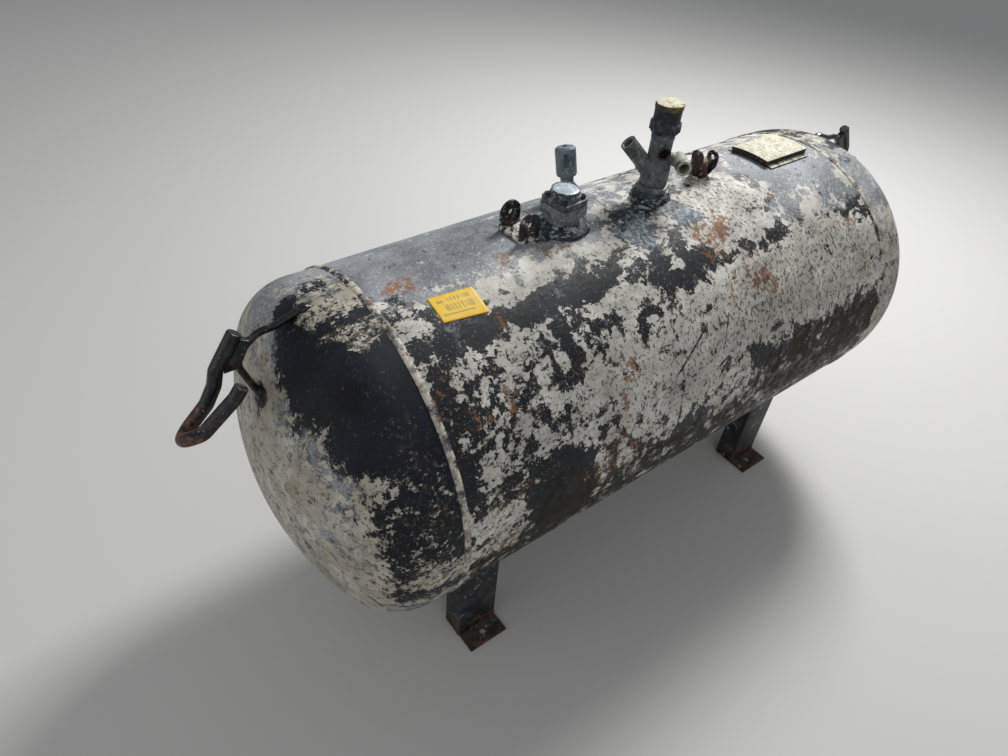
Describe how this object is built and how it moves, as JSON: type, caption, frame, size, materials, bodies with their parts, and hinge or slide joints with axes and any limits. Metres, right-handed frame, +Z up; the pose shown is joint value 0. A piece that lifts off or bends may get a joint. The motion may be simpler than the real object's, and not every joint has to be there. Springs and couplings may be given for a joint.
{
  "type": "horizontal pressure tank",
  "caption": "Horizontal welded gas tank with dished ends on four channel legs, with float gauge, relief valve, fill and service valve, hood brackets and lifting hooks.",
  "frame": {"origin": "on the floor below the middle of the barrel, at the height of the feet's undersides", "axes": "+X along the tank towards the data plate, +Y towards the back, away from the side that the picture shows, +Z up"},
  "size_m": [1.7178, 0.615, 0.963],
  "materials": {
    "shell_paint": "chalky cream paint flaking off bluish black paint, with rust",
    "head_paint": "bluish black paint with patches of cream paint",
    "weld_paint": "painted weld bead",
    "leg_paint": "black paint over steel plate",
    "coupling_paint": "bluish paint, flaking",
    "gauge_casting": "weathered zinc casting",
    "dial_glass": "hazed clear lens",
    "relief_metal": "dull grey",
    "valve_metal": "brass weathered grey",
    "elbow_brass": "cream scale over brass",
    "collar_plastic": "dark plastic",
    "cap_plastic": "chalky cream top with moss",
    "black_iron": "black paint over steel bar",
    "rusty_iron": "rust brown steel",
    "plate_paint": "cream paint over steel"
  },
  "bodies": {
    "root": {"barrel": "shell_paint", "head_left": "head_paint", "head_right": "head_paint", "seam_weld_left": "weld_paint", "seam_weld_right": "weld_paint", "leg_front_left": "leg_paint", "leg_front_right": "leg_paint", "leg_back_left": "leg_paint", "leg_back_right": "leg_paint", "foot_front_left": "leg_paint", "foot_front_right": "leg_paint", "foot_back_left": "leg_paint", "foot_back_right": "leg_paint", "gauge_coupling": "coupling_paint", "relief_coupling": "coupling_paint", "valve_coupling": "coupling_paint", "gauge_adapter": "gauge_casting", "gauge_head": "gauge_casting", "gauge_dial": "dial_glass", "relief_neck": "relief_metal", "relief_bonnet": "relief_metal", "valve_collar": "valve_metal", "valve_body": "valve_metal", "service_outlet": "valve_metal", "fill_neck": "valve_metal", "side_elbow": "elbow_brass", "fill_collar": "collar_plastic", "fill_cap": "cap_plastic", "hinge_bracket": "black_iron", "latch_bracket": "black_iron", "latch_staple": "black_iron", "lug_left": "black_iron", "lug_right": "black_iron", "hook_left": "black_iron", "hook_right": "black_iron", "latch_block": "rusty_iron", "plate_frame": "plate_paint", "data_plate": "plate_paint"}
  },
  "joints": []
}
